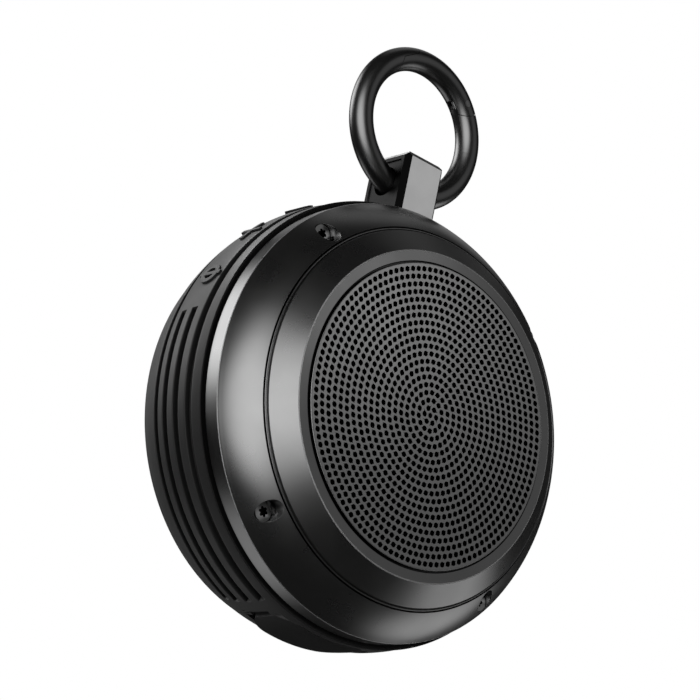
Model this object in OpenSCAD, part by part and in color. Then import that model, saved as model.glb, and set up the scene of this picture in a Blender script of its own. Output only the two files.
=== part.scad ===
// Round clip-on shower speaker with a carabiner ring.
// The body is turned about the Y axis and its front faces -Y. +Z points up through the lug.
// The origin is on the body's axis, in the middle plane of the lug and the ring.
// A section point is [radius, y].

/* [Body] */
// Largest radius of the rubber band
band_r = 47.3; // [47.2:0.05:47.5]
// Radius of the bright edge of the front ring
rim_r = 45.9; // [45.7:0.1:46]
// Distance from the ring plane to the front of the grille
front_depth = 23.9; // [23.8:0.1:24.2]
// Distance from the ring plane to the rear cover's back
back_depth = 21; // [21:0.1:21.6]
// Depth of the grooves in the band
groove_depth = 1.4; // [0.8:0.1:1.8]
// Width of the grooves in the band
groove_w = 1.8; // [1.4:0.1:2]

/* [Grille] */
// Radius of the grille disc
grille_r = 31.7; // [31.4:0.1:31.8]
// Thickness of the grille disc
grille_t = 0.8; // [0.6:0.1:0.8]

/* [Carabiner ring] */
// Height of the ring's centre above the body's axis
ring_z = 69.9; // [69.8:0.1:70.2]
// Radius of the ring's centre line
ring_R = 15.55; // [15.5:0.05:15.6]
// Radius of the ring's round bar
tube_r = 2.64; // [2.5:0.02:2.66]
// Angle of the gate's rivet round the ring
rivet_angle = 43.4; // [40:0.2:46]

/* [Lug] */
// Width of the lug
lug_w = 11; // [10.6:0.1:11.2]
// Depth of the lug from front to back
lug_t = 13.2; // [13:0.1:13.4]
// Height of the lug's top above the body's axis
lug_top = 61.5; // [61:0.1:62]
// Radius of the cross hole for the ring
lug_hole_r = 3.35; // [3.32:0.01:3.4]

/* [Keys] */
// How far a key stands proud of the band
key_proud = 0.5; // [0.5:0.05:0.7]
// Clearance between a key and its pocket
key_gap = 0.12; // [0.1:0.01:0.15]

/* [Hidden] */
$fn = 64;

// Housing and band
housing_r = 44.4;
wall = 2.4;
inner_r = housing_r - wall;
flange_y = -12.3;
step_y = -14.7;
wall_back_y = 17.2;
wall_front_y = 15;
edge_arc = 8;
edge_mid_y = 10.5;
edge_end = asin((wall_back_y - edge_mid_y) / edge_arc);
band_front_y = -8.1;
band_arc = 36;
band_mid_y = -1.5;
band_lip_y = 18.2;
fit = 0.03;

// Grooves in the band, front to back: the first and last run over the top
groove_y = [-4.3, -0.23, 3.84, 7.9];
panel_top_angle = 168.3;
panel_low_angle = 248;

// Front ring, bezel and their screws
seam_r = 39.4;
seam_w = 0.35;
screw_ring_r = 42.2;
front_screw_angles = [45, 135, 225, 315];
head_top_y = -15;
head_seat_y = -13.6;
head_r = 2;
lip_y = 0.5 - front_depth;
grille_back_y = grille_t - front_depth;

// Keys: angle round the band, in degrees from +X towards +Z
pair_angle = 158;
plus_angle = 140;
play_angle = 122;
minus_angle = 58;
key_angles = [pair_angle, plus_angle, play_angle, minus_angle];
key_y = 0.3;
key_travel = 0.5;
key_top_r = band_r - 0.05 + key_proud;
flange_low_r = 45.02;
flange_t = 0.55;
key_flange_r = 3.4;
stem_r = 1;
pin_r = 0.8;
pin_top_r = 41.2;
switch_top_r = 40.5;
board_top_r = 38.6;

// Lug and its screws
lug_chamfer = 1.2;
hole_z = 55;
lug_screw_y = 3.4;
lug_screw_r = 1.25;

// Gate
rivet_r = 0.8;
gate_gap = 0.12;
gate_open = 35;
tongue_half = 0.9;
tongue_r = 1.6;
slot_half = 1.02;
slot_floor = 1.7;
cheek_r = 2.8;
slit_angle = 33;
latch_a = [108, 16.34];
latch_b = [123.3, 15.74];
plunger_off = 1.62;
plunger_r = 0.5;

// Ports at the bottom
flap_half_angle = 16.5;
flap_half_w = 6.5;
flap_top_r = 47.05;
flap_low_r = 45.1;
flap_pin_angle = 252.3;
flap_pin_orbit = 46.25;
flap_pin_r = 0.6;
flap_pin_half = 5.4;
flap_web_half = 3;
port_z = -41;
usb_x = -7.9;
aux_x = 8.2;
port_y = 0.8;

// Driver
driver_seat_y = -19.8;
basket_front_y = -19.3;
coil_r = 8.15;
cone_edge_r = 23;
cone_edge_y = -18.7;
cone_neck_y = -12.8;
throw = 1.5;

// ---------- helpers ----------

function polar(a, r) = [r * cos(a), r * sin(a)];
function ring_point(p) = polar(p[0], p[1]);
function arc_points(c, r, a0, a1, n) = [for (i = [0:n]) c + polar(a0 + (a1 - a0) * i / n, r)];
// Points of a shallow arc from p to q that stands s proud of the chord, on its left side
function bow_points(p, q, s, n) =
    [for (i = [0:n]) let (t = i / n, d = q - p, m = [-d[1], d[0]] / norm(d)) p + d * t + m * s * 4 * t * (1 - t)];

// Solid turned about the Y axis from a section, from angle a0 over the given sweep
module turn(section, a0 = 0, sweep = 360) {
    rotate([90, 0, 0])
        rotate([0, 0, a0])
            rotate_extrude(angle = sweep, $fn = 128)
                polygon([for (p = section) [p[0], -p[1]]]);
}

// Places a child whose +Z points outwards at an angle round the body
module radial(a, y = 0) {
    rotate([0, -a, 0])
        translate([0, y, 0])
            rotate([0, 90, 0])
                children();
}

// Cylinder along Y between two y values, at [x, z]
module rod_y(p, r, y0, y1) {
    translate([p[0], y1, p[1]])
        rotate([90, 0, 0])
            cylinder(r = r, h = y1 - y0);
}

// Child drawn in the ring's own plane, x to the right and y up, extruded through half thickness h
module in_ring_plane(h) {
    translate([0, h, ring_z])
        rotate([90, 0, 0])
            linear_extrude(height = 2 * h)
                children();
}

module ring_bar(r) {
    translate([0, 0, ring_z])
        rotate([90, 0, 0])
            rotate_extrude($fn = 128)
                translate([ring_R, 0])
                    circle(r = r, $fn = 64);
}

// Tube of n sides swept along points, for wires and springs
module sweep_tube(path, r, n = 8) {
    last = len(path) - 1;
    function heading(i) = let (d = path[min(i + 1, last)] - path[max(i - 1, 0)]) d / norm(d);
    function side(i) = let (d = heading(i), s = cross(d, abs(d[1]) < 0.9 ? [0, 1, 0] : [1, 0, 0])) s / norm(s);
    points = [
        for (i = [0:last])
            let (s = side(i), u = cross(heading(i), s))
                for (k = [0:n - 1]) path[i] + r * cos(360 * k / n) * s + r * sin(360 * k / n) * u
    ];
    walls = [
        for (i = [0:last - 1])
            for (k = [0:n - 1])
                [i * n + k, (i + 1) * n + k, (i + 1) * n + (k + 1) % n, i * n + (k + 1) % n]
    ];
    polyhedron(
        points,
        concat([[for (k = [0:n - 1]) k]], walls, [[for (k = [n - 1:-1:0]) last * n + k]]),
        convexity = 6
    );
}

// Smooth curve through four control points
function bezier(p, t) =
    pow(1 - t, 3) * p[0] + 3 * pow(1 - t, 2) * t * p[1] + 3 * (1 - t) * t * t * p[2] + pow(t, 3) * p[3];
function wire_path(p, n = 18) = [for (i = [0:n]) bezier(p, i / n)];

// ---------- front ----------

module front_screw_hole(r, y0, y1) {
    for (a = front_screw_angles)
        rod_y(polar(a, screw_ring_r), r, y0, y1);
}

module front_ring() {
    outer_start = [seam_r + seam_w, -19.25];
    outer_end = [rim_r - 0.22, -12.42];
    color([0.07, 0.07, 0.08])
        difference() {
            turn(concat(
                bow_points(outer_start, outer_end, -0.5, 10),
                [[rim_r, -12.1], [rim_r, -8.45], [rim_r - 0.15, -8.3], [housing_r + 0.15, -8.3]],
                [[housing_r + 0.15, flange_y], [40.85, flange_y], [40.85, -16.2], [seam_r + seam_w, -16.2]]
            ));
            front_screw_hole(head_r + 0.12, -24, head_seat_y);
            front_screw_hole(1.35, head_seat_y - 1, flange_y + 1);
        }
}

module grille_bezel() {
    color([0.09, 0.09, 0.1])
        difference() {
            turn([
                [31, grille_back_y], [32, grille_back_y], [32, lip_y], [34, lip_y], [34.4, lip_y + 0.15],
                [seam_r - 0.15, -19.66], [seam_r, -19.45], [seam_r, -16.2], [40.7, -16.2], [40.7, step_y],
                [37.9, step_y], [37.9, -17], [34.3, driver_seat_y + 0.6], [34.3, driver_seat_y],
                [31, driver_seat_y]
            ]);
            for (a = [0:90:270])
                rod_y(polar(a, 32.4), 0.87, -22.2, driver_seat_y + 1);
            front_screw_hole(head_r + 0.2, -17, -12);
        }
}

module grille() {
    color([0.3, 0.3, 0.32])
        turn([
            [0, -front_depth], [grille_r - 0.2, -front_depth], [grille_r, 0.2 - front_depth],
            [grille_r, grille_back_y], [0, grille_back_y]
        ]);
}

module grille_cloth() {
    color([0.03, 0.03, 0.03])
        turn([[0, grille_back_y + 0.05], [30.9, grille_back_y + 0.05],
              [30.9, grille_back_y + 0.3], [0, grille_back_y + 0.3]]);
}

module front_seal() {
    color([0.15, 0.15, 0.15])
        turn([[38.95, step_y], [39.65, step_y], [39.65, -13.85], [38.95, -13.85]]);
}

module six_lobe(r, lobe_r, depth) {
    cylinder(r = r, h = depth, $fn = 32);
    for (i = [0:5])
        rotate([0, 0, 60 * i])
            translate([r, 0, 0])
                cylinder(r = lobe_r, h = depth, $fn = 24);
}

module front_screws() {
    color([0.2, 0.2, 0.22])
        for (a = front_screw_angles)
            translate([polar(a, screw_ring_r)[0], 0, polar(a, screw_ring_r)[1]])
                difference() {
                    union() {
                        rod_y([0, 0], head_r, head_top_y, head_seat_y);
                        rod_y([0, 0], 1.2, head_seat_y - 0.1, -5);
                    }
                    translate([0, head_top_y + 0.9, 0])
                        rotate([90, 0, 0])
                            six_lobe(0.8, 0.34, 2);
                }
}

// ---------- housing ----------

module lug_opening(extra) {
    translate([0, 0, 30])
        linear_extrude(height = 30)
            polygon(chamfered_rectangle(lug_w / 2 + extra, lug_t / 2 + extra, lug_chamfer));
}

function chamfered_rectangle(hx, hy, c) = [
    [hx - c, -hy], [hx, c - hy], [hx, hy - c], [hx - c, hy],
    [c - hx, hy], [-hx, hy - c], [-hx, c - hy], [c - hx, -hy]
];

module port_bay() {
    translate([-13.6, port_y - 4, -46])
        cube([27.2, 8, 10]);
}

module main_housing() {
    color([0.12, 0.12, 0.13])
        difference() {
            union() {
                turn(concat(
                    [[38.4, step_y], [40.6, step_y], [40.6, flange_y], [housing_r, flange_y]],
                    arc_points([housing_r - edge_arc, edge_mid_y], edge_arc, 0, edge_end, 8),
                    [[0, wall_back_y], [0, wall_front_y], [38.6, wall_front_y], [inner_r, 10],
                     [inner_r, -10], [38.4, -10]]
                ));
                for (a = front_screw_angles)
                    rod_y(polar(a, screw_ring_r - 0.15), 2.3, flange_y + 0.5, -3.8);
                for (a = [90:120:330])
                    rod_y(polar(a, 28.5), 2.2, 8.6, wall_front_y + 1);
            }
            turn([[38.9, step_y - 1], [39.7, step_y - 1], [39.7, -13.8], [38.9, -13.8]]);
            front_screw_hole(head_r + 0.2, step_y - 1, head_seat_y + 0.3);
            front_screw_hole(1.22, flange_y - 1, -4.8);
            for (a = [90:120:330])
                rod_y(polar(a, 28.5), 0.87, 8, 13.5);
            for (a = key_angles)
                radial(a, key_y)
                    translate([0, 0, 35])
                        cylinder(r = stem_r + 0.15, h = 15);
            for (s = [-1, 1])
                translate([0, s * lug_screw_y, 35])
                    cylinder(r = lug_screw_r + 0.05, h = 15);
            for (a = [45:90:315])
                rod_y(polar(a, 17), 1.07, wall_front_y + 0.4, wall_back_y + 1);
            port_bay();
        }
}

module band_key_pocket(a, symbol) {
    radial(a, key_y) {
        translate([0, 0, 43])
            cylinder(r = key_flange_r + 0.2, h = flange_low_r + flange_t + 0.12 - 43);
        translate([0, 0, 44])
            linear_extrude(height = 8)
                symbol_outline(symbol, key_gap);
    }
}

module silicone_band() {
    arc_c = [band_r - band_arc, band_mid_y];
    color([0.1, 0.1, 0.1])
        difference() {
            turn(concat(
                [[housing_r + fit, band_front_y + 1.3], [45.7, band_front_y + 1.3], [46.8, band_front_y + 0.1],
                 [47.05, band_front_y], [band_r - 0.1, band_front_y + 0.35]],
                arc_points(arc_c, band_arc, -6, 27.8, 12),
                [[42.6, 16.6], [41.9, 17.6], [41.2, 18.05], [40.5, band_lip_y], [40.2, band_lip_y],
                 [40.2, wall_back_y + fit]],
                arc_points([housing_r - edge_arc, edge_mid_y], edge_arc + fit, edge_end, 0, 8)
            ));
            for (y = [groove_y[1], groove_y[2]]) {
                band_groove(y, panel_top_angle, panel_low_angle - panel_top_angle);
                band_groove(y, 180 - panel_low_angle, panel_low_angle - panel_top_angle);
            }
            for (y = [groove_y[0], groove_y[3]])
                band_groove(y, 180 - panel_low_angle, 2 * panel_low_angle - 180);
            lug_opening(0.15);
            band_key_pocket(pair_angle, "pair");
            band_key_pocket(plus_angle, "plus");
            band_key_pocket(play_angle, "play");
            band_key_pocket(minus_angle, "minus");
            flap_solid(0.15, housing_r - 1, band_r + 1);
            flap_hinge_relief();
        }
}

module band_groove(y, a0, sweep) {
    deep = band_r - groove_depth - 0.02 * (y - band_mid_y) * (y - band_mid_y);
    turn([[deep, y - groove_w / 2], [60, y - groove_w / 2], [60, y + groove_w / 2], [deep, y + groove_w / 2]],
         a0, sweep);
}

module rear_cover() {
    color([0.1, 0.1, 0.11]) {
        difference() {
            turn(concat(
                [[36.5, wall_back_y], [40, wall_back_y], [40, 18.2], [39.3, 19.2], [37.6, 20.1], [34.5, 20.75]],
                [[31.2, back_depth], [31.2, back_depth - 0.9], [23.8, back_depth - 0.9], [23.8, back_depth],
                 [0, back_depth], [0, 19.2], [36.5, 19.2]]
            ));
            for (a = [45:90:315])
                rod_y(polar(a, 17), 2.2, 19.5, back_depth + 1);
            for (a = [45:90:315])
                rod_y(polar(a, 17), 1.15, 18, back_depth + 1);
        }
        // spacers between the cover and the housing, round the screws
        for (a = [45:90:315])
            difference() {
                rod_y(polar(a, 17), 2.6, wall_back_y, 19.2);
                rod_y(polar(a, 17), 1.15, wall_back_y - 1, 20);
            }
    }
}

module rear_screws() {
    color([0.2, 0.2, 0.22])
        for (a = [45:90:315])
            translate([polar(a, 17)[0], 0, polar(a, 17)[1]])
                difference() {
                    union() {
                        rod_y([0, 0], 2, 19.5, back_depth - 0.2);
                        rod_y([0, 0], 1.05, 15.5, 19.6);
                    }
                    translate([0, back_depth + 1, 0])
                        rotate([90, 0, 0])
                            six_lobe(0.75, 0.32, 1.9);
                }
}

module rear_foot() {
    color([0.08, 0.08, 0.08])
        turn([[23.9, back_depth - 0.9], [31.1, back_depth - 0.9], [31.1, back_depth + 0.6],
              [30.7, back_depth + 1], [24.3, back_depth + 1], [23.9, back_depth + 0.6]]);
}

// ---------- lug ----------

function roof(h, z0) = [[-h, z0], [h, z0], [h, lug_top - lug_chamfer], [h - lug_chamfer, lug_top],
                        [lug_chamfer - h, lug_top], [-h, lug_top - lug_chamfer]];

module hang_lug() {
    color([0.16, 0.16, 0.17])
        difference() {
            intersection() {
                translate([0, 0, 42])
                    linear_extrude(height = 22)
                        polygon(chamfered_rectangle(lug_w / 2, lug_t / 2, lug_chamfer));
                rotate([90, 0, 0])
                    translate([0, 0, -lug_t])
                        linear_extrude(height = 2 * lug_t)
                            polygon(roof(lug_w / 2, 42));
                rotate([90, 0, 90])
                    translate([0, 0, -lug_w])
                        linear_extrude(height = 2 * lug_w)
                            polygon(roof(lug_t / 2, 42));
            }
            rod_y([0, 0], housing_r + fit, -20, 20, $fn = 200);
            translate([-20, 0, hole_z])
                rotate([0, 90, 0])
                    cylinder(r = lug_hole_r, h = 40);
            // shallow panels in both sides
            for (s = [-1, 1])
                translate([s * (lug_w / 2 + 1 - 0.3) - 1, 0.8 + lug_chamfer - lug_t / 2, 40])
                    cube([2, lug_t - 2 * lug_chamfer - 1.6, lug_top - lug_chamfer - 0.8 - 40]);
            for (s = [-1, 1])
                translate([0, s * lug_screw_y, 40])
                    cylinder(r = lug_screw_r + 0.02, h = 10);
        }
}

module lug_plate() {
    color([0.6, 0.6, 0.62])
        difference() {
            intersection() {
                translate([-6, -6.4, 40.4])
                    cube([12, 12.8, 3]);
                rod_y([0, 0], inner_r - fit, -10, 10, $fn = 200);
            }
            for (s = [-1, 1])
                translate([0, s * lug_screw_y, 38])
                    cylinder(r = lug_screw_r + 0.1, h = 8);
        }
}

module lug_screws() {
    color([0.5, 0.5, 0.52])
        for (s = [-1, 1])
            translate([0, s * lug_screw_y, 0])
                difference() {
                    union() {
                        translate([0, 0, 38.8])
                            cylinder(r = 2.2, h = 1.6);
                        translate([0, 0, 40])
                            cylinder(r = lug_screw_r, h = 9.5);
                    }
                    translate([0, 0, 38])
                        cylinder(r = 1.1, h = 1.7, $fn = 6);
                }
}

// ---------- carabiner ring ----------

rivet_p = polar(rivet_angle, ring_R);

// Region of the ring that belongs to the gate, grown by c
module gate_zone(c) {
    a = ring_point(latch_a);
    b = ring_point(latch_b);
    n = [-(b - a)[1], (b - a)[0]] / norm(b - a);
    out = n[1] > 0 ? n : -n;
    intersection() {
        in_ring_plane(5)
            polygon(concat([[0, 0]], [for (t = [rivet_angle, 75, 110, 145]) polar(t, 30)]));
        union() {
            ring_disc(norm(a - rivet_p) + c, 5);
            intersection() {
                ring_disc(norm(b - rivet_p) + c, 5);
                in_ring_plane(5)
                    polygon([a + c * out - (b - a) * 3, b + c * out + (b - a) * 3, [-40, -20], [20, -20]]);
            }
        }
    }
    ring_disc(cheek_r + c, 5);
    difference() {
        in_ring_plane(5)
            polygon([[0, 0], polar(slit_angle + 0.45 - c * 3.7, 30), polar(rivet_angle + 0.5, 30)]);
        translate([0, 6, ring_z])
            rotate([90, 0, 0])
                cylinder(r = ring_R - c, h = 12);
    }
}

// Disc round the rivet's axis
module ring_disc(r, h) {
    translate([rivet_p[0], h, ring_z + rivet_p[1]])
        rotate([90, 0, 0])
            cylinder(r = r, h = 2 * h);
}

// Child drawn at the rivet: x points away from the ring's centre, y along the gate
module at_rivet() {
    translate([rivet_p[0], 0, ring_z + rivet_p[1]])
        rotate([0, -rivet_angle, 0])
            children();
}

module plunger_bore(r, z0, z1) {
    at_rivet()
        translate([-plunger_off, 0, z0])
            cylinder(r = r, h = z1 - z0);
}

module ring_body() {
    color([0.06, 0.06, 0.07])
        difference() {
            union() {
                difference() {
                    ring_bar(tube_r);
                    gate_zone(gate_gap);
                }
                intersection() {
                    ring_bar(tube_r);
                    translate([-30, -tongue_half, ring_z - 30])
                        cube([60, 2 * tongue_half, 60]);
                    union() {
                        ring_disc(tongue_r, 3);
                        in_ring_plane(3)
                            polygon([[0, 0], polar(20, 30), polar(rivet_angle, 30)]);
                    }
                }
            }
            ring_disc(rivet_r + 0.01, 5);
            plunger_bore(plunger_r + 0.05, -7.2, 4);
        }
}

module ring_gate() {
    color([0.06, 0.06, 0.07])
        difference() {
            intersection() {
                ring_bar(tube_r);
                gate_zone(0);
            }
            intersection() {
                at_rivet()
                    union() {
                        translate([-12, -slot_half, -12])
                            cube([24, 2 * slot_half, 12 + slot_floor]);
                        rotate([0, gate_open + 2, 0])
                            translate([-12, -slot_half, -12])
                                cube([24, 2 * slot_half, 12]);
                    }
                translate([-30, -slot_half, ring_z - 30])
                    cube([60, 2 * slot_half, 60]);
            }
            ring_disc(rivet_r + 0.05, 5);
        }
}

module gate_rivet() {
    color([0.2, 0.2, 0.22])
        intersection() {
            ring_disc(rivet_r, 5);
            ring_bar(tube_r - 0.02);
        }
}

module gate_plunger() {
    color([0.6, 0.6, 0.62])
        plunger_bore(plunger_r, -3.6, slot_floor - 0.06);
}

module gate_spring() {
    turns = 6;
    spring_y0 = -7;
    spring_y1 = -3.7;
    path = [
        for (i = [0:12 * turns])
            let (t = i / (12 * turns), a = 360 * turns * t)
                [0.33 * cos(a) - plunger_off, 0.33 * sin(a), spring_y0 + 0.15 + (spring_y1 - spring_y0 - 0.3) * t]
    ];
    color([0.75, 0.75, 0.78])
        at_rivet()
            sweep_tube(path, 0.11, 6);
}

// ---------- keys ----------

// Outline of the hole in the band that a symbol rises through
module symbol_outline(symbol, c) {
    key_symbol(symbol, c);
    if (symbol == "pair")
        circle(r = 2);
}

// Key symbols, drawn with x running against the angle round the band and y towards the back
module key_symbol(symbol, c) {
    if (symbol == "pair") {
        difference() {
            circle(r = 2.5 + c);
            circle(r = 1.45 - c);
        }
        translate([-0.45 - c, -3.2 - c])
            square([0.9 + 2 * c, 6.4 + 2 * c]);
    }
    if (symbol == "plus") {
        translate([-3.5 - c, -0.5 - c])
            square([7 + 2 * c, 1 + 2 * c]);
        translate([-0.5 - c, -2.9 - c])
            square([1 + 2 * c, 5.8 + 2 * c]);
    }
    if (symbol == "minus")
        translate([-3.3 - c, -0.5 - c])
            square([6.6 + 2 * c, 1 + 2 * c]);
    if (symbol == "play") {
        polygon([[3.2 + 2 * c, 0], [0.3 - c, 2.1 + 1.7 * c], [0.3 - c, -2.1 - 1.7 * c]]);
        for (x = [-1.4, -3])
            translate([x - c, -2.1 - c])
                square([0.9 + 2 * c, 4.2 + 2 * c]);
    }
}

module key(a, symbol) {
    color([0.13, 0.13, 0.13])
        intersection() {
            radial(a, key_y) {
                translate([0, 0, pin_top_r])
                    cylinder(r = stem_r, h = 45.3 - pin_top_r);
                translate([0, 0, flange_low_r])
                    cylinder(r = key_flange_r, h = flange_t);
                translate([0, 0, flange_low_r + 0.2])
                    linear_extrude(height = 5)
                        key_symbol(symbol, 0);
                if (symbol == "pair")
                    translate([0, 0, flange_low_r + 0.2])
                        cylinder(r = 2, h = 1.6);
            }
            rod_y([0, 0], key_top_r, -20, 20, $fn = 200);
        }
}

module pair_key() {
    key(pair_angle, "pair");
}

module plus_key() {
    key(plus_angle, "plus");
}

module play_key() {
    key(play_angle, "play");
}

module minus_key() {
    key(minus_angle, "minus");
}

module switch_pin(a) {
    color([0.85, 0.83, 0.75])
        radial(a, key_y)
            translate([0, 0, switch_top_r - 0.35])
                cylinder(r = pin_r, h = pin_top_r - switch_top_r + 0.35);
}

module pair_switch_pin() {
    switch_pin(pair_angle);
}

module plus_switch_pin() {
    switch_pin(plus_angle);
}

module play_switch_pin() {
    switch_pin(play_angle);
}

module minus_switch_pin() {
    switch_pin(minus_angle);
}

module switch_bodies() {
    color([0.2, 0.2, 0.2])
        for (a = key_angles)
            radial(a, key_y)
                difference() {
                    translate([-2.2, -2.2, board_top_r + 0.1])
                        cube([4.4, 4.4, switch_top_r - board_top_r - 0.1]);
                    translate([0, 0, switch_top_r - 1.1])
                        cylinder(r = pin_r + 0.06, h = 2);
                }
}

module button_board() {
    color([0.1, 0.35, 0.2])
        turn([[board_top_r - 0.8, -3.2], [board_top_r, -3.2], [board_top_r, 3.6], [board_top_r - 0.8, 3.6]],
             48, 120);
}

// ---------- ports ----------

// Stadium plug round the bottom of the band, grown by c, between two radii
module flap_solid(c, r0, r1) {
    half = band_r * sin(flap_half_angle);
    intersection() {
        translate([0, key_y, -60])
            union() {
                for (s = [-1, 1])
                    translate([s * (half - flap_half_w), 0, 0])
                        cylinder(r = flap_half_w + c, h = 40);
                translate([flap_half_w - half, -flap_half_w - c, 0])
                    cube([2 * (half - flap_half_w), 2 * (flap_half_w + c), 40]);
            }
        difference() {
            rod_y([0, 0], r1, -20, 20);
            rod_y([0, 0], r0, -21, 21);
        }
    }
}

function flap_pin_p() = polar(flap_pin_angle, flap_pin_orbit);

module flap_hinge_relief() {
    p = flap_pin_p();
    rod_y(p, flap_pin_r + 0.08, key_y - flap_pin_half - 0.1, key_y + flap_pin_half + 0.1);
    // room for the web in the middle, then for the flap's end as it swings down
    translate([p[0] - 0.65, key_y - flap_web_half - 0.1, p[1] - 4])
        cube([4.65, 2 * flap_web_half + 0.2, 4.55]);
    translate([p[0] + 0.7, key_y - flap_pin_half - 0.2, p[1] - 4])
        cube([3.3, 2 * flap_pin_half + 0.4, 4.1]);
}

module port_flap() {
    p = flap_pin_p();
    color([0.11, 0.11, 0.11]) {
        difference() {
            flap_solid(0, flap_low_r, flap_top_r);
            // relief so the end clears the band when the flap swings
            translate([p[0] - 2, -10, p[1] - 3])
                cube([3.3, 20, 6]);
            // finger notch at the free end
            translate([band_r * sin(flap_half_angle) - 0.4, key_y - 2, -48])
                cube([3, 4, 6]);
        }
        rod_y(p, flap_pin_r, key_y - flap_pin_half, key_y + flap_pin_half);
        translate([p[0], key_y - flap_web_half, p[1] - 0.35])
            cube([1.8, 2 * flap_web_half, 0.8]);
    }
}

module port_frame() {
    color([0.12, 0.12, 0.12])
        difference() {
            intersection() {
                translate([-13.55, port_y - 3.95, port_z])
                    cube([27.1, 7.9, 1.6]);
                rod_y([0, 0], housing_r - 0.1, -20, 20);
            }
            usb_shell(0.1);
            translate([aux_x, port_y, port_z - 1])
                cylinder(r = 3.1, h = 4);
        }
}

// Rounded bar shape of the charging socket, grown by c
module usb_shell(c) {
    for (s = [-1, 1])
        translate([usb_x + s * 2.95, port_y, port_z - (c > 0 ? 1 : 0)])
            cylinder(r = 1.6 + c, h = 7.4);
    translate([usb_x - 2.95, port_y - 1.6 - c, port_z - (c > 0 ? 1 : 0)])
        cube([5.9, 3.2 + 2 * c, 7.4]);
}

module usb_socket() {
    color([0.7, 0.7, 0.72])
        difference() {
            usb_shell(0);
            for (s = [-1, 1])
                translate([usb_x + s * 2.95, port_y, port_z - 1])
                    cylinder(r = 1.25, h = 7);
            translate([usb_x - 2.95, port_y - 1.25, port_z - 1])
                cube([5.9, 2.5, 7]);
        }
    color([0.1, 0.1, 0.1])
        translate([usb_x - 3, port_y - 0.35, port_z + 1])
            cube([6, 0.7, 6]);
}

module aux_jack() {
    color([0.1, 0.1, 0.1])
        difference() {
            union() {
                translate([aux_x, port_y, port_z])
                    cylinder(r = 3, h = 2.5);
                translate([aux_x - 3, port_y - 3, port_z + 2])
                    cube([6, 6, 11]);
            }
            translate([aux_x, port_y, port_z - 1])
                cylinder(r = 1.8, h = 13);
        }
}

module port_board() {
    color([0.1, 0.35, 0.2])
        translate([-12.4, port_y + 3.1, port_z + 1.8])
            cube([24.8, 1, 10.4]);
}

// ---------- electronics ----------

module main_board() {
    color([0.1, 0.35, 0.2])
        difference() {
            turn([[0, 7.4], [32, 7.4], [32, 8.6], [0, 8.6]]);
            for (a = [90:120:330])
                rod_y(polar(a, 28.5), 1.1, 7, 9);
        }
}

module board_parts() {
    color([0.08, 0.08, 0.08]) {
        translate([-27, 6.2, -4])
            cube([7, 1.2, 8]);
        translate([20, 6.4, 4])
            cube([6, 1, 6]);
        translate([19, 5.2, -7])
            cube([5.5, 2.2, 5.5]);
        translate([-3, 6.4, 20])
            cube([8, 1, 4]);
    }
    color([0.85, 0.85, 0.8]) {
        translate([-10, 5, -27])
            cube([5, 2.4, 4]);
        translate([10, 8.6, -24])
            cube([6, 3, 4.5]);
    }
}

module board_screws() {
    color([0.5, 0.5, 0.52])
        for (a = [90:120:330])
            translate([polar(a, 28.5)[0], 0, polar(a, 28.5)[1]])
                difference() {
                    union() {
                        rod_y([0, 0], 1.8, 6.2, 7.4);
                        rod_y([0, 0], 0.85, 7.3, 13);
                    }
                    rod_y([0, 0], 0.9, 5, 6.9);
                }
}

module battery() {
    color([0.35, 0.45, 0.55])
        translate([-20, 9.8, -14])
            cube([40, 4.6, 30]);
}

module battery_pad() {
    color([0.2, 0.2, 0.2])
        translate([-17, 14.4, -11])
            cube([34, 0.6, 24]);
}

module battery_leads() {
    color([0.8, 0.15, 0.1])
        for (k = [0, 1])
            sweep_tube(wire_path([[11.5 + 2 * k, 11.6, -14.05], [11.5 + 2 * k, 11.6, -16.5],
                                  [11.8 + 2 * k, 10.2, -16.5], [12 + 2 * k, 10.1, -19.4]], 10), 0.45, 8);
}

// ---------- loudspeaker ----------

module speaker_basket() {
    color([0.25, 0.25, 0.27])
        difference() {
            turn([
                [28.2, basket_front_y], [34.1, basket_front_y], [34.1, -18.1], [30.6, -18.1],
                [29.9, -15.4], [22.4, -6.9], [22.4, -6.6], [7, -6.6], [9.4, -7.4], [17.9, -7.4],
                [17.9, -10.2], [19.6, -10.2], [28.2, -17.6]
            ]);
            for (a = [0:90:270])
                rod_y(polar(a, 32.4), 1.1, -25, 0);
            turn([[0, -5], [9.2, -5], [9.2, -9], [0, -9]]);
            // windows between the four legs
            for (a = [20:90:290])
                turn([[20.6, -16.6], [40, -16.6], [40, -8.2], [20.6, -8.2]], a, 50);
        }
}

module speaker_gasket() {
    color([0.1, 0.1, 0.1])
        difference() {
            turn([[31.1, driver_seat_y], [34.1, driver_seat_y], [34.1, basket_front_y], [31.1, basket_front_y]]);
            for (a = [0:90:270])
                rod_y(polar(a, 32.4), 0.95, -25, 0);
        }
}

module speaker_screws() {
    color([0.5, 0.5, 0.52])
        for (a = [0:90:270])
            translate([polar(a, 32.4)[0], 0, polar(a, 32.4)[1]])
                difference() {
                    union() {
                        rod_y([0, 0], 1.7, -18.1, -16.9);
                        rod_y([0, 0], 0.85, -22, -18);
                    }
                    rod_y([0, 0], 0.8, -17.7, -16);
                }
}

module top_plate() {
    color([0.55, 0.55, 0.58])
        turn([[9, -6.6], [18.5, -6.6], [18.5, -3.4], [9, -3.4]]);
}

module magnet() {
    color([0.2, 0.2, 0.22])
        turn([[11, -3.4], [20, -3.4], [20, 2.2], [11, 2.2]]);
}

module pole_yoke() {
    color([0.55, 0.55, 0.58])
        turn([[0, -6.8], [7.6, -6.8], [7.6, 1.6], [8.2, 2.2], [18.5, 2.2], [18.5, 4.8], [0, 4.8]]);
}

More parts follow.
